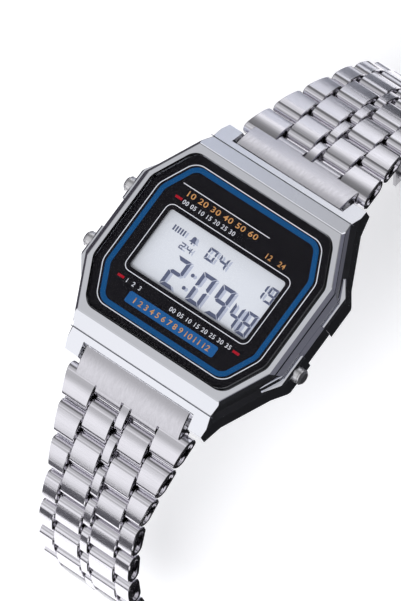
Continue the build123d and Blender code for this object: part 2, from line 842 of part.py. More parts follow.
# The two sides of the bracelet, each from its end link outwards
inner_columns = [
    (-inner_link_x, -inner_link_start_x),
    (inner_link_start_x, inner_link_x),
]
sides = {
    "12": (1, first_angle_12, bend_angle_12, bend_angle_growth_12),
    "6": (-1, first_angle_6, bend_angle_6, bend_angle_growth_6),
}
ends = {}
for hour, (side, slope, first_bend, growth) in sides.items():
    link, (y, z) = end_link(side, slope)
    write(link, f"end_link_{hour}")
    for number in range(rows_per_side):
        slope = slope + min(first_bend + growth * number, most_bend_angle)
        pinned = number % 2 == 0
        reach = number * row_pitch
        half_x = half_x_at(reach)
        outer_columns = [
            (-half_x, -outer_link_x),
            (-centre_link_x, centre_link_x),
            (outer_link_x, half_x),
        ]
        columns = outer_columns if pinned else inner_columns
        gap = pin_fixed_gap if pinned else pin_gap
        row = link_row(side, y, z, slope, columns, gap, pinned, reach)
        write(row, f"link_row_{hour}_{number + 1:02d}")
        y, z = step(y, z, slope, row_pitch)
    ends[hour] = (y, z, slope)

# Clasp cover: a bowed channel that hangs from the last pin of the 12 o'clock side
cover_y, cover_z, cover_slope = ends["12"]
cover_slope = cover_slope + cover_bend_angle
cover_middle = (cover_start + cover_length) / 2
hinge_y, hinge_z = step(cover_y, cover_z, cover_slope, blade_hinge_u, blade_hinge_w)


def bowed_strip(high, low):
    """Side view of the cover between two heights, both bowed outwards alike."""
    with BuildSketch() as strip:
        with BuildLine():
            middle = (cover_middle, high + cover_bow)
            ThreePointArc((cover_start, high), middle, (cover_length, high))
            Line((cover_length, high), (cover_length, low))
            middle = (cover_middle, low + cover_bow)
            ThreePointArc((cover_length, low), middle, (cover_start, low))
            Line((cover_start, low), (cover_start, high))
        make_face()
    return strip.sketch


cover_outline = bowed_strip(cover_high, cover_high - cover_depth)
cover_hollow = bowed_strip(cover_high - cover_sheet, cover_high - cover_depth - overrun)

# Tabs that take the last pin of a side, between its outer and centre links
with BuildSketch() as knuckle:
    with Locations((knuckle_length / 2, 0)):
        SlotCenterToCenter(knuckle_length, 2 * link_radius)

with BuildPart() as clasp_cover:
    with BuildSketch(side_plane(1, cover_y, cover_z, cover_slope, -cover_half_x)):
        add(cover_outline)
    extrude(amount=2 * cover_half_x)
    chamfer(clasp_cover.faces().filter_by(Axis.X).edges(), cover_edge)
    inner_half_x = cover_half_x - cover_sheet
    with BuildSketch(side_plane(1, cover_y, cover_z, cover_slope, -inner_half_x)):
        add(cover_hollow)
    extrude(amount=2 * inner_half_x, mode=Mode.SUBTRACT)
    for x_from, x_to in inner_columns:
        with BuildSketch(side_plane(1, cover_y, cover_z, cover_slope, x_from)):
            add(knuckle.sketch)
        extrude(amount=x_to - x_from)
    hole_x = inner_link_x + overrun / 2
    bar_x(pin_radius + pin_gap, -hole_x, hole_x, cover_y, cover_z, Mode.SUBTRACT)
    wall_x = cover_half_x + overrun
    bar_x(blade_pin_radius + pin_fixed_gap, -wall_x, wall_x, hinge_y, hinge_z, Mode.SUBTRACT)
    pin_x = cover_half_x - pin_recess
    bar_x(blade_pin_radius, -pin_x, pin_x, hinge_y, hinge_z)
write(clasp_cover, "clasp_cover")

# Clasp blade: folded into the cover, with a hook at its free end
with BuildPart() as clasp_blade:
    with BuildSketch(side_plane(1, cover_y, cover_z, cover_slope, -blade_half_x)):
        middle_u = (blade_hinge_u + blade_end_u + hook_radius) / 2
        with Locations((middle_u, blade_hinge_w)):
            Rectangle(blade_hinge_u - blade_end_u - hook_radius, blade_thickness)
        with Locations((blade_hinge_u, blade_hinge_w)):
            Circle(blade_knuckle_radius)
    extrude(amount=2 * blade_half_x)
    with BuildSketch(side_plane(1, cover_y, cover_z, cover_slope, -hook_half_x)):
        with Locations((blade_end_u, blade_hinge_w)):
            Circle(hook_radius)
            Circle(hook_inner_radius, mode=Mode.SUBTRACT)
        with Locations((blade_end_u + hook_radius, blade_hinge_w)):
            Rectangle(hook_radius, blade_thickness)
        with Locations((blade_end_u, blade_hinge_w - hook_radius)):
            Rectangle(2 * hook_inner_radius, 2 * hook_inner_radius, mode=Mode.SUBTRACT)
    extrude(amount=2 * hook_half_x)
    blade_x = blade_half_x + overrun
    bar_x(blade_pin_radius + pin_gap, -blade_x, blade_x, hinge_y, hinge_z, Mode.SUBTRACT)
write(clasp_blade, "clasp_blade")

# Catch on the 6 o'clock side: two tabs, two arms and the bar that the hook takes
catch_y, catch_z, catch_slope = ends["6"]
catch_slope = catch_slope + catch_bend_angle
bar_end_y, bar_end_z = step(catch_y, catch_z, catch_slope, catch_length)
with BuildPart() as catch_link:
    for x_from, x_to in inner_columns:
        with BuildSketch(side_plane(-1, catch_y, catch_z, catch_slope, x_from)):
            add(knuckle.sketch)
        extrude(amount=x_to - x_from)
    for x_from, x_to in ((-inner_link_x, -catch_arm_x), (catch_arm_x, inner_link_x)):
        with BuildSketch(side_plane(-1, catch_y, catch_z, catch_slope, x_from)):
            arm_start = knuckle_length / 2
            with Locations(((arm_start + catch_length) / 2, 0)):
                Rectangle(catch_length - arm_start, catch_thickness)
        extrude(amount=x_to - x_from)
    with BuildSketch(side_plane(-1, catch_y, catch_z, catch_slope, -inner_link_start_x)):
        with Locations((knuckle_length + link_radius / 2, 0)):
            Rectangle(link_radius, catch_thickness)
    extrude(amount=2 * inner_link_start_x)
    bar_x(catch_bar_radius, -inner_link_x, inner_link_x, -bar_end_y, bar_end_z)
    hole_x = inner_link_x + overrun
    bar_x(pin_radius + pin_gap, -hole_x, hole_x, -catch_y, catch_z, Mode.SUBTRACT)
write(catch_link, "catch_link")
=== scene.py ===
"""A digital wristwatch on a metal link bracelet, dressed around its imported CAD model.

The frame is the CAD's own: X to 3 o'clock, Y to 12 o'clock and Z out of the dial, with the
origin on the case back. Sizes are in millimetres and angles in degrees, except where a
docstring or comment says otherwise, and they become Blender's units where they are used.
"""

import logging
import math
from dataclasses import dataclass
from enum import Enum

import bmesh
import bpy
from mathutils import Matrix, Vector


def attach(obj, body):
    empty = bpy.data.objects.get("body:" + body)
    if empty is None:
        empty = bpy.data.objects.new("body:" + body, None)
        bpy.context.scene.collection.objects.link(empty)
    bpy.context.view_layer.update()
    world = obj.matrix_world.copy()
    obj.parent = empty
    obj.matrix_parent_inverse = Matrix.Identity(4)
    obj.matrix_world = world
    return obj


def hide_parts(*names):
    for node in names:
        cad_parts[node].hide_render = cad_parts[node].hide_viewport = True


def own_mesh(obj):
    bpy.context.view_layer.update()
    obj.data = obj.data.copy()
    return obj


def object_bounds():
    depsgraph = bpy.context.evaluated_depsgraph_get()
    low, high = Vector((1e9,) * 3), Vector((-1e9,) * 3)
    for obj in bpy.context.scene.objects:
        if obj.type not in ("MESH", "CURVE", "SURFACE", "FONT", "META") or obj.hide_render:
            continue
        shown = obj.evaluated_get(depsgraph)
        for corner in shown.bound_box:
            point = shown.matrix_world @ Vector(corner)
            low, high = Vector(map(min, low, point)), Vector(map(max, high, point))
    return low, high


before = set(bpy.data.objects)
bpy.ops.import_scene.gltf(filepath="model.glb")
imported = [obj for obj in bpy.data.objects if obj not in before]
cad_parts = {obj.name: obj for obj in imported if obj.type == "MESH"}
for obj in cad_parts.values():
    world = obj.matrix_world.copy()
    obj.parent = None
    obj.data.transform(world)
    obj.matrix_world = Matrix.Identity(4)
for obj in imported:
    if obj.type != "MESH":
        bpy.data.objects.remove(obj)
CAD_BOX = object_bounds()

log = logging.getLogger("wristwatch")

MM = 0.001
# Points nearer to each other than this, in metres, are one
SAME_POINT = 1e-7
# Nearly all of a noise lies between these values, which stretch over a finish's own range
NOISE_LOW, NOISE_HIGH = 0.3, 0.7
# The Mix node's sockets for colours: the share, the two colours, and the one that comes out
SHARE, FIRST, SECOND, MIXED = 0, 6, 7, 2
# Roughness of studio paper and card, which mirror nothing
MATT = 0.9

Pair = tuple[float, float]
Triple = tuple[float, float, float]


def mm(*values: float) -> Vector:
    """Return a point given in millimetres as metres."""
    return Vector(values) * MM


def linear(colour: str) -> tuple[float, float, float, float]:
    """Turn an sRGB hex colour into the linear one that shaders take, by the sRGB curve.

    Args:
        colour: Six hex digits after a hash.

    Returns:
        Linear red, green and blue, with an alpha of 1.
    """
    shares = (int(colour[i : i + 2], 16) / 255 for i in (1, 3, 5))
    return (*(c / 12.92 if c <= 0.04045 else ((c + 0.055) / 1.055) ** 2.4 for c in shares), 1.0)


def add_node(
    tree: bpy.types.NodeTree, kind: str, inputs: dict | None = None, **settings: object
) -> bpy.types.Node:
    """Add a node to a tree, set it up and link it.

    Args:
        tree: The node tree that gets the node.
        kind: The node's type name.
        inputs: Socket name or number to a value, or to the output socket that feeds it.
        settings: The node's own properties.

    Returns:
        The new node.
    """
    made = tree.nodes.new(kind)
    for name, value in settings.items():
        setattr(made, name, value)
    for name, value in (inputs or {}).items():
        if isinstance(value, bpy.types.NodeSocket):
            tree.links.new(value, made.inputs[name])
        else:
            made.inputs[name].default_value = value
    return made


def blank_material(name: str) -> tuple[bpy.types.Material, bpy.types.NodeTree]:
    """Make a material with nothing in it yet.

    Args:
        name: The material's name.

    Returns:
        The new material, and its empty node tree.
    """
    material = bpy.data.materials.new(name)
    material.use_nodes = True
    material.node_tree.nodes.clear()
    return material, material.node_tree


def patterned(tree: bpy.types.NodeTree, spacing: Triple) -> bpy.types.Node:
    """Add a noise whose grain has a real size along each axis.

    Args:
        tree: The material's node tree.
        spacing: The grain's size along X, Y and Z.

    Returns:
        The noise node.
    """
    place = add_node(tree, "ShaderNodeTexCoord")
    scale = tuple(1 / (size * MM) for size in spacing)
    mapping = add_node(
        tree, "ShaderNodeMapping", {"Vector": place.outputs["Object"], "Scale": scale}
    )
    settings = {"Vector": mapping.outputs[0], "Scale": 1.0, "Detail": 2.0}
    return add_node(tree, "ShaderNodeTexNoise", settings)


def surface_over(
    tree: bpy.types.NodeTree,
    noise: bpy.types.Node,
    colours: tuple[str, str | None],
    relief: float,
    inputs: dict,
) -> None:
    """Close a material whose colour and relief follow a noise.

    Args:
        tree: The material's node tree.
        noise: The noise.
        colours: The colour where it is low and, unless it is None, the one where it is high.
        relief: How high the surface rises with it.
        inputs: What else the shader takes.
    """
    low, high = colours
    inputs = {"Base Color": linear(low), **inputs}
    if high:
        mix = add_node(
            tree,
            "ShaderNodeMix",
            {SHARE: noise.outputs[0], FIRST: linear(low), SECOND: linear(high)},
            data_type="RGBA",
        )
        inputs["Base Color"] = mix.outputs[MIXED]
    if relief:
        bump = add_node(
            tree,
            "ShaderNodeBump",
            {"Height": noise.outputs[0], "Strength": 1.0, "Distance": relief * MM},
        )
        inputs["Normal"] = bump.outputs[0]
    shader = add_node(tree, "ShaderNodeBsdfPrincipled", inputs)
    add_node(tree, "ShaderNodeOutputMaterial", {"Surface": shader.outputs[0]})


@dataclass(frozen=True)
class Metal:
    """A bare or plated metal, with the marks that its making leaves.

    The marks are a noise stretched along the tool's path: it moves the roughness between two
    values, mixes in the tint where there is one, and raises a little relief.
    """

    name: str
    colour: str
    roughness: Pair
    marks: Triple
    relief: float = 0.0
    tint: str | None = None

    def material(self) -> bpy.types.Material:
        """Build the metal's material.

        Returns:
            The new material.
        """
        material, tree = blank_material(self.name)
        noise = patterned(tree, self.marks)
        low, high = self.roughness
        stretch = {"From Min": NOISE_LOW, "From Max": NOISE_HIGH, "To Min": low, "To Max": high}
        rough = add_node(tree, "ShaderNodeMapRange", {"Value": noise.outputs[0], **stretch})
        inputs = {"Metallic": 1.0, "Roughness": rough.outputs[0]}
        surface_over(tree, noise, (self.colour, self.tint), self.relief, inputs)
        return material


@dataclass(frozen=True)
class Polymer:
    """A plastic, rubber, resin, laminate or ink, with a faint grain."""

    name: str
    colour: str
    second: str
    roughness: float
    grain: float
    relief: float = 0.0
    specular: float = 0.5

    def material(self) -> bpy.types.Material:
        """Build the polymer's material.

        Returns:
            The new material.
        """
        material, tree = blank_material(self.name)
        noise = patterned(tree, (self.grain,) * 3)
        inputs = {"Roughness": self.roughness, "Specular IOR Level": self.specular}
        surface_over(tree, noise, (self.colour, self.second), self.relief, inputs)
        return material


@dataclass(frozen=True)
class Glass:
    """Clear glass that lets the lamps through to what is behind it."""

    name: str
    colour: str
    ior: float
    roughness: float

    def material(self) -> bpy.types.Material:
        """Build the glass's material.

        Returns:
            The new material.
        """
        material, tree = blank_material(self.name)
        surface = add_node(
            tree,
            "ShaderNodeBsdfPrincipled",
            {
                "Base Color": linear(self.colour),
                "Roughness": self.roughness,
                "IOR": self.ior,
                "Transmission Weight": 1.0,
            },
        )
        path = add_node(tree, "ShaderNodeLightPath")
        clear = add_node(tree, "ShaderNodeBsdfTransparent", {"Color": linear(self.colour)})
        for ray in ("Is Shadow Ray", "Is Diffuse Ray"):
            surface = add_node(
                tree,
                "ShaderNodeMixShader",
                {0: path.outputs[ray], 1: surface.outputs[0], 2: clear.outputs[0]},
            )
        add_node(tree, "ShaderNodeOutputMaterial", {"Surface": surface.outputs[0]})
        return material


Finish = Metal | Polymer | Glass

# Chrome plate on polished brass: near-mirror facets, with faint hairlines from wiping
CHROME = Metal(
    "chrome_plate_polished",
    "#ecedf2",
    roughness=(0.03, 0.07),
    marks=(4.0, 0.12, 4.0),
    relief=0.0003,
)
# Steel turned on a lathe and polished: bright, with rings too fine to count along the pusher
TURNED = Metal(
    "steel_turned_polished", "#e6e5e6", roughness=(0.3, 0.44), marks=(0.06, 2.0, 2.0), relief=0.0006
)
# Stainless steel brushed flat: a silky back with straight lines across the wrist's width
BACK = Metal(
    "stainless_steel_brushed_back",
    "#c9c9cb",
    roughness=(0.25, 0.4),
    marks=(4.0, 0.07, 4.0),
    relief=0.002,
    tint="#bdbdc0",
)
# Folded stainless strip brushed across the bracelet: soft bright bands that run along each link.
# The lines are drawn three times as coarse as a 240 grit belt leaves them, so that they show.
LINK = Metal(
    "stainless_steel_brushed_links",
    "#efedf2",
    roughness=(0.09, 0.19),
    marks=(2.4, 0.1, 0.1),
    relief=0.0012,
    tint="#e0dee3",
)
# Stainless steel blasted and lightly brushed: a calm grey sheen with faint short marks along
# the wrist
END_LINK = Metal(
    "stainless_steel_satin_end_links",
    "#dedce1",
    roughness=(0.17, 0.25),
    marks=(0.25, 1.0, 1.0),
    relief=0.00015,
    tint="#cfcdd2",
)
# Pressed stainless sheet brushed lengthwise: long even lines on the clasp
CLASP = Metal(
    "stainless_steel_brushed_clasp",
    "#cecdd0",
    roughness=(0.22, 0.34),
    marks=(0.08, 5.0, 5.0),
    relief=0.0015,
    tint="#c2c1c4",
)
# Brass with a thin bright plate: warm springs and sounder inside the case
BRASS = Metal(
    "brass_plated_bright", "#c9a860", roughness=(0.2, 0.35), marks=(0.3, 0.3, 0.3), relief=0.001
)
# Hard drawn spring wire: grey gloss broken by drawing lines
SPRING = Metal(
    "spring_steel_wire", "#b9b9bb", roughness=(0.2, 0.3), marks=(0.2, 0.2, 0.2), relief=0.001
)
# Nickel plate on a pressed can: soft bright skin with faint cloudiness
CAN = Metal(
    "nickel_plated_can", "#cfcfce", roughness=(0.15, 0.3), marks=(0.6, 0.6, 0.6), relief=0.001
)

# Gloss black screen print behind the crystal: deep, slightly violet black
PANEL = Polymer(
    "gloss_black_printed_panel", "#0e0c11", "#121015", roughness=0.3, grain=0.8, specular=0.15
)
# Black lacquer on the crystal's ground edge: the dark rim round the dial
EDGE_LACQUER = Polymer(
    "gloss_black_edge_lacquer",
    "#09090b",
    "#0e0e11",
    roughness=0.18,
    grain=0.3,
    relief=0.002,
    specular=0.4,
)
# Painted shadow: a smoked grey line where the bezel meets the case, in place of the shade in the
# step between them
SEAM_SHADOW = Polymer("painted_seam_shadow", "#3c3d45", "#4a4c55", roughness=0.5, grain=0.5, specular=0.3)
# Poured epoxy: glossy black drop over the chip
RESIN = Polymer("epoxy_resin_black", "#0d0d0e", "#151517", roughness=0.2, grain=0.5, relief=0.004)
# Moulded nitrile rubber: dull black with a fine bloom
RUBBER = Polymer(
    "nitrile_rubber_moulded", "#101011", "#1b1b1c", roughness=0.75, grain=0.2, relief=0.004
)
# Layered silicone strip: dull pink with a faint grain
ELASTIC = Polymer("silicone_connector_rubber", "#c9a5a8", "#b98f93", roughness=0.6, grain=0.2)
# White reflector film: milky, with the slightest unevenness
WHITE_PLASTIC = Polymer("white_reflector_film", "#e9e9e2", "#dedfd8", roughness=0.5, grain=0.4)
# Moulded ABS: even grey with the tool's spark-eroded grain
FRAME_PLASTIC = Polymer(
    "abs_moulded_grey", "#5b5c5f", "#4e4f52", roughness=0.5, grain=0.25, relief=0.003
)
# Glass fibre laminate under green resist: satin green with the cloth showing through
BOARD = Polymer(
    "glass_fibre_laminate", "#1c4a2c", "#255a37", roughness=0.4, grain=0.3, relief=0.002
)
# Clear straw-coloured lamp resin
LAMP = Polymer("clear_lamp_resin", "#e6dca6", "#d8cc90", roughness=0.15, grain=0.3)
# Liquid crystal cell with a matt polariser: silver-white with a fine reflector grain
LCD = Polymer(
    "liquid_crystal_cell_polariser", "#ecedf1", "#e2e3e9", roughness=0.4, grain=0.25, specular=0.25
)

# Driven liquid crystal: slate grey figures, a little uneven
SEGMENT = Polymer(
    "liquid_crystal_dark_segment", "#575c75", "#6b7088", roughness=0.45, grain=0.5, specular=0.2
)
# The figures' soft shadow on the reflector behind the cell
SEGMENT_SHADE = Polymer(
    "liquid_crystal_segment_shade", "#b9bdcf", "#c6cada", roughness=0.5, grain=0.4, specular=0.2
)
# Screen inks, each a flat opaque film with pinholes too small to see one by one
WHITE_INK = Polymer(
    "screen_ink_white", "#ecebf0", "#dcdce2", roughness=0.5, grain=0.1, specular=0.2
)
BLUE_INK = Polymer("screen_ink_blue", "#0c4a7c", "#0f5084", roughness=0.5, grain=0.15, specular=0.2)
BAR_INK = Polymer(
    "screen_ink_bright_blue", "#1b568f", "#205c96", roughness=0.5, grain=0.15, specular=0.2
)
GOLD_INK = Polymer("screen_ink_gold", "#dfa468", "#cf955a", roughness=0.5, grain=0.1, specular=0.2)
RED_INK = Polymer("screen_ink_red", "#b01226", "#a01022", roughness=0.5, grain=0.1, specular=0.2)

# Mineral glass with an anti-reflective coat: so clear that the black panel stays black under it.
# The index is the one that gives the coated surface's faint reflection, not that of bare glass.
CRYSTAL = Glass("mineral_glass_coated", "#fafbfc", ior=1.08, roughness=0.0)


def made_material(finish: Finish) -> bpy.types.Material:
    """Return a finish's material, built once."""
    return bpy.data.materials.get(finish.name) or finish.material()


def dress(finish: Finish, *nodes: str) -> None:
    """Give CAD nodes one finish.

    Args:
        finish: The finish that they share.
        nodes: Names of the CAD nodes.
    """
    material = made_material(finish)
    for name in nodes:
        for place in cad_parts[name].material_slots:
            place.material = material
        log.info("%s: %s", name, finish.name)


def finished_piece(
    name: str, bm: bmesh.types.BMesh, finish: Finish, body: str
) -> bpy.types.Object:
    """Turn a bmesh into a piece that rides on a body.

    Args:
        name: The piece's name.
        bm: The shape, in metres and in place. It is freed here.
        finish: The finish that it gets.
        body: The CAD body that carries it.

    Returns:
        The new object.
    """
    bmesh.ops.recalc_face_normals(bm, faces=bm.faces)
    mesh = bpy.data.meshes.new(name)
    bm.to_mesh(mesh)
    bm.free()
    mesh.materials.append(made_material(finish))
    piece = bpy.data.objects.new(name, mesh)
    bpy.context.scene.collection.objects.link(piece)
    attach(piece, body)
    log.info("%s: %d faces", name, len(mesh.polygons))
    return piece


def merged_copy(node: str) -> bmesh.types.BMesh:
    """Copy a CAD node's shape, with its loose triangles joined.

    Args:
        node: The node's name.

    Returns:
        The copy, in metres and in place.
    """
    bm = bmesh.new()
    bm.from_mesh(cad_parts[node].data)
    bmesh.ops.remove_doubles(bm, verts=bm.verts, dist=SAME_POINT)
    return bm


def flat_face(
    bm: bmesh.types.BMesh, points: list[Pair], height: float = 0.0
) -> list[bmesh.types.BMVert]:
    """Add a flat face.

    Args:
        bm: The mesh that gets it.
        points: X and Y of its corners, in order.
        height: Its Z.

    Returns:
        Its corners.
    """
    corners = [bm.verts.new(mm(x, y, height)) for x, y in points]
    bm.faces.new(corners)
    return corners


def rectangle(left: float, right: float, low: float, high: float) -> list[Pair]:
    """Return the corners of a rectangle from its four edges."""
    return [(left, low), (right, low), (right, high), (left, high)]


def thicken(bm: bmesh.types.BMesh, height: float) -> None:
    """Raise flat faces into closed plates.

    Args:
        bm: The mesh, which holds nothing but these faces.
        height: How high the plates are.
    """
    plate = bmesh.ops.extrude_face_region(bm, geom=bm.faces[:], use_keep_orig=True)
    tops = [g for g in plate["geom"] if isinstance(g, bmesh.types.BMVert)]
    bmesh.ops.translate(bm, verts=tops, vec=mm(0, 0, height))


@dataclass
class EasedCopy:
    """A CAD node whose sharp edges are eased, so that they catch a thin line of light.

    Edges flatter than one angle are taken out first, and those sharper than another are eased
    by a width.
    """

    node: str
    finish: Metal
    slot: str
    width: float = 0.1
    flat: float = 0.5
    sharp: float = 20.0

    def build(self) -> None:
        """Stand a copy with eased edges in for the node."""
        bm = merged_copy(self.node)
        flat, sharp = math.radians(self.flat), math.radians(self.sharp)
        bmesh.ops.dissolve_limit(bm, angle_limit=flat, verts=bm.verts, edges=bm.edges)
        edges = [edge for edge in bm.edges if edge.is_manifold and edge.calc_face_angle() > sharp]
        bmesh.ops.bevel(
            bm,
            geom=edges,
            offset=self.width * MM,
            affect="EDGES",
            segments=2,
            profile=0.5,
            material=-1,
            clamp_overlap=True,
        )
        piece = finished_piece(f"{self.node}_eased", bm, self.finish, "case")
        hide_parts(self.node)


@dataclass
class ReturnSpring:
    """A pusher's return spring, which closes up as the pusher goes in.

    Its closed length, a share of its length at rest, is not used.
    """

    pusher: str
    closed: float = 0.45

    def build(self) -> None:
        """Stand a copy, with a mesh of its own, in for the node."""
        node = f"spring_{self.pusher}"
        piece = finished_piece(f"{node}_coil", merged_copy(node), SPRING, "case")
        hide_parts(node)
        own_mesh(piece)


@dataclass
class WatchHead:
    """The head of the watch: what its CAD pieces are made of, and which of them are copied."""

    finishes: tuple[tuple[Finish, tuple[str, ...]], ...] = (
        (CHROME, ("case_body", "bezel")),
        (TURNED, ("button_upper_left", "button_lower_left", "button_lower_right")),
        (BACK, ("case_back", "case_back_screws", "spring_bars")),
        (CRYSTAL, ("crystal",)),
        (PANEL, ("dial_panel",)),
        (LCD, ("lcd_glass",)),
        (WHITE_PLASTIC, ("lcd_reflector",)),
        (LAMP, ("backlight_led",)),
        (ELASTIC, ("connector_strips",)),
        (RUBBER, ("crystal_gasket", "back_seal", "button_seals")),
        (BOARD, ("circuit_board",)),
        (RESIN, ("driver_chip",)),
        (FRAME_PLASTIC, ("module_frame",)),
        (CAN, ("quartz_can", "battery", "battery_strap")),
        (BRASS, ("button_contacts", "buzzer_disc")),
    )
    eased: tuple[str, ...] = ("case_body", "bezel")
    pushers: tuple[str, ...] = ("upper_left", "lower_left", "lower_right")

    def build(self) -> None:
        """Dress the head, ease the edges of its chrome and copy its springs."""
        for finish, nodes in self.finishes:
            dress(finish, *nodes)
        for node in self.eased:
            EasedCopy(node, CHROME, "polished_case").build()
        for pusher in self.pushers:
            ReturnSpring(pusher).build()


@dataclass
class Bracelet:
    """The bracelet and its clasp, whose CAD pieces keep their shapes."""

    rows: str = "link_row_"
    end_links: tuple[str, ...] = ("end_link_12", "end_link_6")
    clasp: tuple[str, ...] = ("clasp_cover", "clasp_blade", "catch_link")

    def build(self) -> None:
        """Dress the rows of links, the end links and the clasp."""
        dress(LINK, *(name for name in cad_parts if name.startswith(self.rows)))
        dress(END_LINK, *self.end_links)
        dress(CLASP, *self.clasp)


@dataclass(frozen=True)
class EightSided:
    """An eight-sided outline with rounded corners, as the crystal and its printed rings have.

    Its reach is how far the diagonal sides are from its centre, and its diagonal is the angle
    between X and the way that they face. Its corner is the corners' radius, and its middle is
    the Y of its centre. With a reach that cuts nothing off it is a rounded rectangle.
    """

    half_x: float
    half_y: float
    reach: float
    corner: float
    middle: float = 0.0
    diagonal: float = 27.25

    def face(self, bm: bmesh.types.BMesh, height: float) -> bmesh.types.BMFace:
        """Lay the outline as one face.

        Args:
            bm: The mesh that gets it, still empty.
            height: Its Z.

        Returns:
            The face.
        """
        across = math.cos(math.radians(self.diagonal))
        up = math.sin(math.radians(self.diagonal))
        end_x = min(self.half_x, (self.reach - self.half_y * up) / across)
        side_y = min(self.half_y, (self.reach - self.half_x * across) / up)
        cut = side_y < self.half_y
        quarter = [(self.half_x, side_y)] + ([(end_x, self.half_y)] if cut else [])
        half = quarter + [(-x, y) for x, y in reversed(quarter)]
        corners = half + [(-x, -y) for x, y in half]
        verts = flat_face(bm, [(x, self.middle + y) for x, y in corners], height)
        turns = [(verts, 90)]
        if cut:
            turns = [
                (verts[0::4] + verts[3::4], self.diagonal),
                (verts[1::4] + verts[2::4], 90 - self.diagonal),
            ]
        for turning, turn in turns:
            # An arc of the corner's radius starts this far from the corner
            start = self.corner * math.tan(math.radians(turn / 2))
            bmesh.ops.bevel(
                bm,
                geom=turning,
                offset=start * MM,
                affect="VERTICES",
                segments=8,
                profile=0.5,
                material=-1,
            )
        return bm.faces[:][0]

    def ring(self, height: float, width: float, rise: float) -> bmesh.types.BMesh:
        """Make a closed ring inside the outline.

        Args:
            height: Z of its underside.
            width: The ring's own width.
            rise: Its height.

        Returns:
            The ring.
        """
        bm = bmesh.new()
        face = self.face(bm, height)
        bmesh.ops.inset_region(
            bm, faces=[face], thickness=width * MM, use_boundary=True, use_even_offset=True
        )
        bmesh.ops.delete(bm, geom=[face], context="FACES_ONLY")
        thicken(bm, rise)
        return bm


@dataclass
class CrystalEdge:
    """The black lacquer on the crystal's ground edge."""

    outline: EightSided = EightSided(half_x=14.475, half_y=12.425, reach=15.835, corner=2.025)
    low: float = 6.92
    rise: float = 0.78
    film: float = 0.02

    def build(self) -> None:
        """Make the film round the crystal."""
        ring = self.outline.ring(self.low, self.film, self.rise)
        finished_piece("crystal_edge_lacquer", ring, EDGE_LACQUER, "case")


@dataclass
class BezelSeamShadow:
    """A painted shadow: a dark line where the bezel meets the case at 6 and at 12 o'clock, in place
    of the shade in the step between them.

    Edge is where the bezel ends, and slope is how far the line leans, as the facet there does.
    """

    half_length: float = 12.0
    edge_y: float = 15.6
    edge_z: float = 5.47
    slope: float = 34.0
    width: float = 0.13
    film: float = 0.016

    def build(self) -> None:
        """Lay a line of painted shadow along the 6 and the 12 o'clock side."""
        bm = bmesh.new()
        size = Matrix.Diagonal((2 * self.half_length * MM, self.width * MM, 1, 1))
        bmesh.ops.create_grid(bm, x_segments=1, y_segments=1, size=0.5, matrix=size)
        thicken(bm, self.film)
        half = self.half_length * MM
        edges = [edge for edge in bm.edges if abs(edge.verts[0].co.x - edge.verts[1].co.x) > half]
        ease = self.film / 3
        bmesh.ops.bevel(
            bm,
            geom=edges,
            offset=ease * MM,
            affect="EDGES",
            segments=2,
            profile=0.5,
            material=-1,
        )
        tilt = Matrix.Rotation(math.radians(-self.slope), 4, "X")
        # Most of the line lies past the bezel's edge, on the case
        middle = self.edge_y + self.width / 3
        bm.transform(Matrix.Translation(mm(0, middle, self.edge_z)) @ tilt)
        whole = bm.verts[:] + bm.edges[:] + bm.faces[:]
        bmesh.ops.mirror(bm, geom=whole, axis="Y", merge_dist=0)
        # The film is painted shadow: a dark grey line that stands in for the shade of the bezel's
        # step
        finished_piece("bezel_seam_painted_shadow", bm, SEAM_SHADOW, "case")


@dataclass(frozen=True)
class NumberLine:
    """Plain numbers printed along a line, with the same gap between all.

    Its ends are the X of its left and right end, and its base is the Y that the figures stand
    on. Its lift is how far above the panel they start. Its stretch is their width as a share
    of the font's own, and its gap a share of one figure's width.
    """

    name: str
    finish: Polymer
    texts: str
    ends: Pair
    height: float
    base: float
    lift: float = 0.0
    stretch: float = 1.0
    gap: float = 0.9

    def placed(self) -> list[tuple[str, float]]:
        """Give each number its place.

        Returns:
            Each number with the X of its middle.
        """
        texts = self.texts.split()
        shares = [len(text) for text in texts]
        left, right = self.ends
        unit = (right - left) / (sum(shares) + self.gap * (len(texts) - 1))
        placed = []
        for text, share in zip(texts, shares):
            placed.append((text, left + unit * share / 2))
            left += unit * (share + self.gap)
        return placed


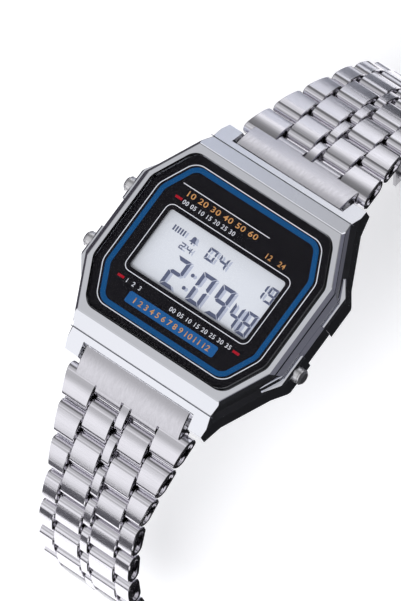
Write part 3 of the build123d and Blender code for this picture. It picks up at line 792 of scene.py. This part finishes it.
@dataclass
class PrintedPanel:
    """What is printed on the panel under the crystal: rings, lines, marks and plain numbers.

    Bolder and spacing are how much the font's outlines are pushed out and how far apart its
    figures stand, in the font's own measures. Flat is the angle, in radians, below which two
    of a figure's faces are one.
    """

    front: float = 6.85
    ink: float = 0.012
    bolder: float = 0.012
    spacing: float = 1.12
    flat: float = 0.01

    def ring(self, name: str, finish: Polymer, outline: EightSided, width: float) -> None:
        """Print an eight-sided ring.

        Args:
            name: The piece's name.
            finish: Its ink.
            outline: The ring's outer edge.
            width: The ring's own width.
        """
        ring = outline.ring(self.front, width, self.ink)
        finished_piece(name, ring, finish, "case")

    def bars(
        self,
        name: str,
        finish: Polymer,
        boxes: list[tuple[float, float, float, float]],
        corner: float = 0.0,
    ) -> None:
        """Print plain rectangles.

        Args:
            name: The piece's name.
            finish: Its ink.
            boxes: Left, right, low and high edge of each.
            corner: How far the rounding of a corner starts from it.
        """
        bm = bmesh.new()
        for box in boxes:
            corners = flat_face(bm, rectangle(*box), self.front)
            if corner:
                bmesh.ops.bevel(
                    bm,
                    geom=corners,
                    offset=corner * MM,
                    affect="VERTICES",
                    segments=4,
                    profile=0.5,
                    material=-1,
                )
        thicken(bm, self.ink)
        finished_piece(name, bm, finish, "case")

    def numbers(self, line: NumberLine) -> None:
        """Print a line of numbers.

        Args:
            line: The numbers, their ink and their place.
        """
        bm = bmesh.new()
        for text, x in line.placed():
            curve = bpy.data.curves.new(line.name, "FONT")
            curve.body = text
            curve.align_x = "CENTER"
            curve.offset = self.bolder
            curve.space_character = self.spacing
            made = bpy.data.objects.new(line.name, curve)
            bpy.context.scene.collection.objects.link(made)
            bpy.context.view_layer.update()
            mesh = bpy.data.meshes.new_from_object(made)
            scale = line.height / max(v.co.y for v in mesh.vertices)
            size = Matrix.Diagonal((scale * line.stretch, scale, 1.0)).to_4x4()
            place = Matrix.Translation((x, line.base, self.front + line.lift))
            mesh.transform(Matrix.Scale(MM, 4) @ place @ size)
            bm.from_mesh(mesh)
            bpy.data.objects.remove(made)
            bpy.data.meshes.remove(mesh)
            bpy.data.curves.remove(curve)
        bmesh.ops.remove_doubles(bm, verts=bm.verts, dist=SAME_POINT)
        bmesh.ops.dissolve_limit(bm, angle_limit=self.flat, verts=bm.verts, edges=bm.edges)
        thicken(bm, self.ink)
        finished_piece(line.name, bm, line.finish, "case")

    def build(self) -> None:
        """Print the whole panel."""
        outer = EightSided(half_x=13.28, half_y=11.28, reach=14.66, corner=2.2)
        blue = EightSided(half_x=12.78, half_y=11.0, reach=14.2, corner=2.0)
        window = EightSided(half_x=10.41, half_y=5.38, reach=30.0, corner=1.1, middle=-0.37)
        self.ring("print_outer_line", WHITE_INK, outer, width=0.13)
        self.ring("print_blue_ring", BLUE_INK, blue, width=0.72)
        self.ring("print_display_line", WHITE_INK, window, width=0.11)
        self.bars("print_top_line", WHITE_INK, [(-10.4, 4.1, 7.95, 8.06)])
        self.bars("print_bar", BAR_INK, [(-7.35, 7.5, -9.35, -7.7)], corner=0.3)
        dashes = [
            (-10.25, -9.15, 5.85, 6.2),
            (-10.25, -9.2, -6.98, -6.63),
            (9.3, 10.35, -7.2, -6.85),
        ]
        self.bars("print_red_dashes", RED_INK, dashes)
        for line in (
            NumberLine(
                "print_minutes",
                GOLD_INK,
                "10 20 30 40 50 60",
                ends=(-9.2, 2.7),
                height=0.78,
                base=6.78,
                stretch=1.3,
            ),
            NumberLine(
                "print_day_hours", GOLD_INK, "12 24", ends=(4.8, 8.5), height=0.75, base=5.5
            ),
            NumberLine(
                "print_upper_numbers",
                WHITE_INK,
                "00 05 10 15 20 25 30",
                ends=(-8.9, -0.2),
                height=0.62,
                base=5.63,
            ),
            NumberLine(
                "print_left_numbers", WHITE_INK, "1 2 3", ends=(-8.9, -6.2), height=0.62, base=-7.15
            ),
            NumberLine(
                "print_lower_numbers",
                WHITE_INK,
                "00 05 10 15 20 25 30 35",
                ends=(-1.4, 8.9),
                height=0.62,
                base=-7.17,
            ),
            NumberLine(
                "print_hours",
                GOLD_INK,
                "1 2 3 4 5 6 7 8 9 10 11 12",
                ends=(-6.3, 6.4),
                height=0.78,
                base=-8.92,
                lift=self.ink,
                stretch=1.1,
            ),
        ):
            self.numbers(line)


class Stroke(Enum):
    """The seven segments of a figure, each by the letter that stands for it."""

    TOP = "a"
    UPPER_RIGHT = "b"
    LOWER_RIGHT = "c"
    BOTTOM = "d"
    LOWER_LEFT = "e"
    UPPER_LEFT = "f"
    MIDDLE = "g"


# The segments that each figure lights
FIGURES: dict[str, str] = {
    "0": "abcdef",
    "1": "bc",
    "2": "abged",
    "4": "fgbc",
    "8": "abcdefg",
    "9": "abcdfg",
}


@dataclass(frozen=True)
class FigureRow:
    """A row of seven-segment figures.

    Left and base are the first one's lower left corner, width and height the size of one,
    pitch the way from one to the next, and thick the thickness of a segment. Gap, how far a
    segment stays from its corner, and nose, where an upright one comes to a point, are shares
    of that thickness. Tip, how far the middle one's points are drawn in, is a share of half of
    it. The outer edge of an upright one ends before the middle by a number of gaps, its heel.
    """

    text: str
    left: float
    base: float
    width: float
    height: float
    pitch: float
    thick: float
    gap: float = 0.14
    tip: float = 0.6
    nose: float = 0.35
    heel: float = 1.6

    def corners(self, stroke: Stroke, left: float) -> list[Pair]:
        """Return the corners of one mitred segment.

        Args:
            stroke: Which segment it is.
            left: X of its figure's left edge.

        Returns:
            X and Y of each corner, in order.
        """
        right, top = left + self.width, self.base + self.height
        middle = self.base + self.height / 2
        full, half = self.thick, self.thick / 2
        gap = self.gap * full
        if stroke in (Stroke.TOP, Stroke.BOTTOM):
            high = stroke is Stroke.TOP
            outer, inner = (top, top - full) if high else (self.base, self.base + full)
            return [
                (left + gap, outer),
                (right - gap, outer),
                (right - full - gap, inner),
                (left + full + gap, inner),
            ]
        if stroke is Stroke.MIDDLE:
            tip = half * self.tip
            return [
                (left + gap + tip, middle),
                (left + full, middle + half),
                (right - full, middle + half),
                (right - gap - tip, middle),
                (right - full, middle - half),
                (left + full, middle - half),
            ]
        high = stroke in (Stroke.UPPER_LEFT, Stroke.UPPER_RIGHT)
        near = stroke in (Stroke.UPPER_LEFT, Stroke.LOWER_LEFT)
        outer, inner = (left, left + full) if near else (right, right - full)
        end, way = (top, -1) if high else (self.base, 1)
        return [
            (outer, end + way * gap),
            (inner, end + way * (full + gap)),
            (inner, middle - way * (half + gap)),
            (outer + (inner - outer) * self.nose, middle - way * gap),
            (outer, middle - way * gap * self.heel),
        ]

    def build(self, bm: bmesh.types.BMesh) -> None:
        """Add the row to a mesh, flat at Z 0.

        Args:
            bm: The mesh.
        """
        for place, figure in enumerate(self.text):
            for letter in FIGURES[figure]:
                flat_face(bm, self.corners(Stroke(letter), self.left + self.pitch * place))


@dataclass(frozen=True)
class DisplayMarks:
    """The display's colon, strength bars and bell.

    The bars stand side by side from the left edge of the first. The bell's side is its right
    half from the rim up, as X from its middle and Y.
    """

    colon: tuple[Pair, ...] = ((-1.9, -1.5), (-1.9, -3.5))
    colon_radius: float = 0.27
    bars: int = 5
    bar_left: float = -8.2
    bar_width: float = 0.24
    bar_low: float = 2.15
    bar_high: float = 2.95
    bar_pitch: float = 0.42
    bell_x: float = -4.75
    bell_side: tuple[Pair, ...] = ((0.55, 2.1), (0.33, 2.35), (0.28, 2.75), (0.13, 2.95))
    clapper_y: float = 1.95
    clapper_radius: float = 0.14

    def dot(self, bm: bmesh.types.BMesh, place: Pair, radius: float, corners: int) -> None:
        """Add a round dot.

        Args:
            bm: The mesh that gets it.
            place: X and Y of its middle.
            radius: Its radius.
            corners: How many corners its edge has.
        """
        made = bmesh.ops.create_circle(bm, cap_ends=True, radius=radius * MM, segments=corners)
        bmesh.ops.translate(bm, verts=made["verts"], vec=mm(*place, 0))

    def build(self, bm: bmesh.types.BMesh) -> None:
        """Add the marks to a mesh, flat at Z 0.

        Args:
            bm: The mesh.
        """
        for place in self.colon:
            self.dot(bm, place, self.colon_radius, corners=12)
        for i in range(self.bars):
            left = self.bar_left + self.bar_pitch * i
            flat_face(bm, rectangle(left, left + self.bar_width, self.bar_low, self.bar_high))
        right_side = [(self.bell_x + x, y) for x, y in self.bell_side]
        left_side = [(self.bell_x - x, y) for x, y in reversed(self.bell_side)]
        flat_face(bm, right_side + left_side)
        self.dot(bm, (self.bell_x, self.clapper_y), self.clapper_radius, corners=8)


@dataclass
class Display:
    """The dark segments of the liquid crystal display and their shade on the reflector.

    The lifts are how far above the display's front each lies, and shade_shift is how far the
    shade falls to the side of its segments.
    """

    front: float = 5.95
    film: float = 0.01
    segment_lift: float = 0.02
    shade_lift: float = 0.003
    shade_shift: Pair = (0.42, -0.03)
    rows: tuple[FigureRow, ...] = (
        FigureRow("2", left=-5.2, base=-4.7, width=2.2, height=4.5, pitch=3.25, thick=0.52),
        FigureRow("09", left=-0.9, base=-4.7, width=2.2, height=4.5, pitch=3.25, thick=0.52),
        FigureRow("48", left=5.35, base=-4.7, width=1.65, height=3.4, pitch=2.1, thick=0.4),
        FigureRow("24", left=-6.0, base=0.55, width=0.8, height=0.95, pitch=1.1, thick=0.16),
        FigureRow("19", left=6.55, base=0.7, width=1.25, height=2.3, pitch=1.55, thick=0.3),
        FigureRow("04", left=-2.2, base=1.2, width=1.4, height=1.8, pitch=1.95, thick=0.3),
    )
    marks: DisplayMarks = DisplayMarks()

    def build(self) -> None:
        """Make the shade and the segments."""
        for name, finish, shift, lift in (
            ("display_shade", SEGMENT_SHADE, self.shade_shift, self.shade_lift),
            ("display_segments", SEGMENT, (0.0, 0.0), self.segment_lift),
        ):
            bm = bmesh.new()
            for row in self.rows:
                row.build(bm)
            self.marks.build(bm)
            bmesh.ops.translate(bm, verts=bm.verts, vec=mm(*shift, self.front + lift))
            thicken(bm, self.film)
            finished_piece(name, bm, finish, "case")


def staged(name: str, bm: bmesh.types.BMesh, material: bpy.types.Material) -> bpy.types.Object:
    """Turn a bmesh into a thing of the studio, which isn't part of the watch.

    Args:
        name: Its name.
        bm: Its shape, in metres. It is freed here.
        material: What it is made of.

    Returns:
        The new object.
    """
    mesh = bpy.data.meshes.new(name)
    bm.to_mesh(mesh)
    bm.free()
    mesh.materials.append(material)
    thing = bpy.data.objects.new(name, mesh)
    bpy.context.scene.collection.objects.link(thing)
    return thing


class Side(Enum):
    """The way that a card stands."""

    UPRIGHT = "across X"
    FACING = "across Y"
    FLAT = "across Z"


@dataclass(frozen=True)
class Card:
    """A grey or black card that a photographer stands beside polished metal, out of the picture.

    It only shows in reflections. Where it has a fade, it thins out along X from the first
    value to the second.
    """

    name: str
    side: Side
    colour: str
    place: Triple
    size: Pair
    fade: Pair | None = None

    def material(self) -> bpy.types.Material:
        """Build the card's paper.

        Returns:
            The new material.
        """
        material, tree = blank_material(f"card_{self.name}")
        settings = {"Base Color": linear(self.colour), "Roughness": MATT}
        surface = add_node(tree, "ShaderNodeBsdfPrincipled", settings)
        if self.fade:
            place = add_node(tree, "ShaderNodeTexCoord")
            split = add_node(tree, "ShaderNodeSeparateXYZ", {0: place.outputs["Object"]})
            start, end = (x * MM for x in self.fade)
            share = add_node(
                tree,
                "ShaderNodeMapRange",
                {"Value": split.outputs["X"], "From Min": start, "From Max": end},
                interpolation_type="SMOOTHSTEP",
            )
            clear = add_node(tree, "ShaderNodeBsdfTransparent")
            surface = add_node(
                tree,
                "ShaderNodeMixShader",
                {0: share.outputs[0], 1: surface.outputs[0], 2: clear.outputs[0]},
            )
        add_node(tree, "ShaderNodeOutputMaterial", {"Surface": surface.outputs[0]})
        return material

    def build(self) -> None:
        """Stand the card."""
        bm = bmesh.new()
        # A square of one millimetre, which its size then stretches
        bmesh.ops.create_grid(bm, x_segments=1, y_segments=1, size=0.5 * MM)
        upright = Matrix.Rotation(math.radians(90), 4, "X")
        turn = {
            Side.UPRIGHT: Matrix.Rotation(math.radians(90), 4, "Z") @ upright,
            Side.FACING: upright,
            Side.FLAT: Matrix.Identity(4),
        }[self.side]
        size = Matrix.Diagonal((*self.size, 1, 1))
        bm.transform(Matrix.Translation(mm(*self.place)) @ turn @ size)
        card = staged(f"card_{self.name}", bm, self.material())
        card.visible_camera = card.visible_diffuse = False
        card.visible_shadow = card.visible_transmission = False


@dataclass(frozen=True)
class Lamp:
    """A soft box that points at the watch. Metal mirrors the room and the cards instead.

    Its place and size are in metres.
    """

    name: str
    place: Triple
    size: Pair
    watts: float

    def build(self) -> None:
        """Hang the lamp."""
        data = bpy.data.lights.new(self.name, "AREA")
        data.shape = "RECTANGLE"
        data.size, data.size_y = self.size
        data.energy = self.watts
        lamp = bpy.data.objects.new(self.name, data)
        lamp.visible_glossy = lamp.visible_transmission = False
        place = Vector(self.place)
        turn = place.to_track_quat("Z", "Y").to_matrix().to_4x4()
        lamp.matrix_world = Matrix.Translation(place) @ turn
        bpy.context.scene.collection.objects.link(lamp)


# Flat cards lie just above the floor
CARD_LIFT = 0.3
CARD_Z = CAD_BOX[0][2] / MM + CARD_LIFT


@dataclass
class Studio:
    """Floor, light and camera.

    The camera was worked out from the edges of the bezel, the panel and the display. Its rows
    are the ways to its right, down and ahead, and its shift is how far along each it sees the
    point of the Z axis at solved_z. Its focal length and image are in pixels. Its clip and the
    floor's half size are in metres.

    The room has a level for each angle from the horizon at 12 o'clock, over the top, to the
    horizon at 6 o'clock.
    """

    solved_z: float = 7.3
    focal: float = 8000.0
    shift: Triple = (1.063, -3.899, 1041.604)
    rows: tuple[Triple, Triple, Triple] = (
        (0.7724, 0.5877, -0.2408),
        (0.5046, -0.7981, -0.3293),
        (-0.3857, 0.1328, -0.9130),
    )
    image: tuple[int, int] = (401, 601)
    sensor: float = 36.0
    clip: Pair = (0.05, 10.0)
    floor_half: float = 3.0
    paper: str = "#f7f7f9"
    glow: float = 0.3
    cards: tuple[Card, ...] = (
        Card("right", Side.UPRIGHT, "#19191d", place=(78, 0, 2), size=(190, 96)),
        Card("right_high", Side.UPRIGHT, "#7b7b85", place=(78, 0, 80), size=(190, 60)),
        Card("right_far", Side.UPRIGHT, "#7a7a86", place=(77, 80, 36), size=(50, 56)),
        Card("right_middle", Side.UPRIGHT, "#74747d", place=(77, 10, -12), size=(56, 26)),
        Card("left", Side.UPRIGHT, "#4a474f", place=(-62, 25, -12), size=(110, 70)),
        Card("right_floor", Side.FLAT, "#101013", place=(51, -29, CARD_Z), size=(78, 142)),
        Card("right_floor_far", Side.FLAT, "#56565e", place=(56, 75, CARD_Z), size=(68, 66)),
        Card("left_floor", Side.FLAT, "#55535a", place=(-45, 30, CARD_Z), size=(40, 90)),
        Card("top", Side.FACING, "#c4c8d2", place=(-60, 76, -10), size=(112, 76), fade=(-46, -6)),
        Card("far_floor_12", Side.FLAT, "#26262a", place=(0, 500, CARD_Z), size=(900, 800)),
        Card("far_floor_6", Side.FLAT, "#47464c", place=(0, -520, CARD_Z), size=(900, 800)),
    )
    lamps: tuple[Lamp, ...] = (
        Lamp("key", place=(-0.38, -0.86, 0.36), size=(0.55, 0.3), watts=0.56),
        Lamp("top", place=(0.2, -0.45, 0.9), size=(0.45, 0.45), watts=5.6),
    )
    room_tint: Triple = (0.97, 0.975, 1.0)
    room: tuple[Pair, ...] = (
        (0, 0.16),
        (6, 0.72),
        (13, 0.92),
        (24, 1.2),
        (33, 0.94),
        (42, 0.36),
        (52, 0.14),
        (64, 0.18),
        (75, 0.4),
        (82, 0.62),
        (94, 0.54),
        (104, 0.68),
        (114, 0.9),
        (124, 0.62),
        (135, 0.52),
        (144, 0.9),
        (150, 1.04),
        (164, 1.0),
        (176, 0.8),
        (180, 0.5),
    )

    def camera(self) -> None:
        """Stand the camera where the photograph was taken from."""
        right, down, ahead = (Vector(row).normalized() for row in self.rows)
        place = -(right * self.shift[0] + down * self.shift[1] + ahead * self.shift[2])
        place.z += self.solved_z
        turn = Matrix((right, -down, -ahead)).transposed().to_4x4()
        data = bpy.data.cameras.new("camera")
        data.sensor_width = self.sensor
        data.lens = self.focal * self.sensor / max(self.image)
        data.clip_start, data.clip_end = self.clip
        camera = bpy.data.objects.new("camera", data)
        camera.matrix_world = Matrix.Translation(place * MM) @ turn
        bpy.context.scene.collection.objects.link(camera)
        bpy.context.scene.camera = camera

    def ground(self) -> None:
        """Lay the floor at the watch's lowest point."""
        bm = bmesh.new()
        bmesh.ops.create_grid(bm, x_segments=1, y_segments=1, size=self.floor_half)
        bmesh.ops.translate(bm, verts=bm.verts, vec=(0, 0, CAD_BOX[0][2]))
        # White studio paper: its glow makes the picture's ground white, and metal shows it too
        material, tree = blank_material("studio_paper")
        path = add_node(tree, "ShaderNodeLightPath")
        seen = path.outputs["Is Camera Ray"]
        for ray in ("Is Glossy Ray", "Is Transmission Ray"):
            either = {0: seen, 1: path.outputs[ray]}
            seen = add_node(tree, "ShaderNodeMath", either, operation="MAXIMUM").outputs[0]
        glow = add_node(tree, "ShaderNodeMath", {0: seen, 1: self.glow}, operation="MULTIPLY")
        shader = add_node(
            tree,
            "ShaderNodeBsdfPrincipled",
            {
                "Base Color": linear(self.paper),
                "Roughness": MATT,
                "Specular IOR Level": 0.0,
                "Emission Color": linear("#ffffff"),
                "Emission Strength": glow.outputs[0],
            },
        )
        add_node(tree, "ShaderNodeOutputMaterial", {"Surface": shader.outputs[0]})
        staged("floor", bm, material)

    def world(self) -> None:
        """Light everything softly from a pale room.

        Its level changes in bands between 12 and 6 o'clock, which the links and the chrome mirror.
        """
        world = bpy.data.worlds.new("room")
        world.use_nodes = True
        tree = world.node_tree
        tree.nodes.clear()
        place = add_node(tree, "ShaderNodeTexCoord")
        split = add_node(tree, "ShaderNodeSeparateXYZ", {0: place.outputs["Generated"]})
        sides = {0: split.outputs["Z"], 1: split.outputs["Y"]}
        angle = add_node(tree, "ShaderNodeMath", sides, operation="ARCTAN2")
        half_turn = {0: angle.outputs[0], 1: math.pi}
        share = add_node(tree, "ShaderNodeMath", half_turn, operation="DIVIDE")
        ramp = add_node(tree, "ShaderNodeValToRGB", {0: share.outputs[0]})
        stops = ramp.color_ramp.elements
        # Each new stop gets its own position below
        while len(stops) < len(self.room):
            stops.new(0.5)
        for stop, (degrees, level) in zip(stops, self.room):
            stop.position = degrees / 180
            stop.color = (*(level * tint for tint in self.room_tint), 1)
        shade = add_node(tree, "ShaderNodeBackground", {"Color": ramp.outputs[0], "Strength": 1.0})
        add_node(tree, "ShaderNodeOutputWorld", {"Surface": shade.outputs[0]})
        bpy.context.scene.world = world

    def build(self) -> None:
        """Set the whole studio."""
        self.camera()
        self.ground()
        self.world()
        for thing in self.cards + self.lamps:
            thing.build()
        bpy.context.scene.view_settings.view_transform = "Standard"


def main() -> None:
    """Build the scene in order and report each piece."""
    logging.basicConfig(level=logging.INFO, format="%(message)s")
    WatchHead().build()
    Bracelet().build()
    CrystalEdge().build()
    BezelSeamShadow().build()
    PrintedPanel().build()
    Display().build()
    Studio().build()


if __name__ == "__main__":
    main()
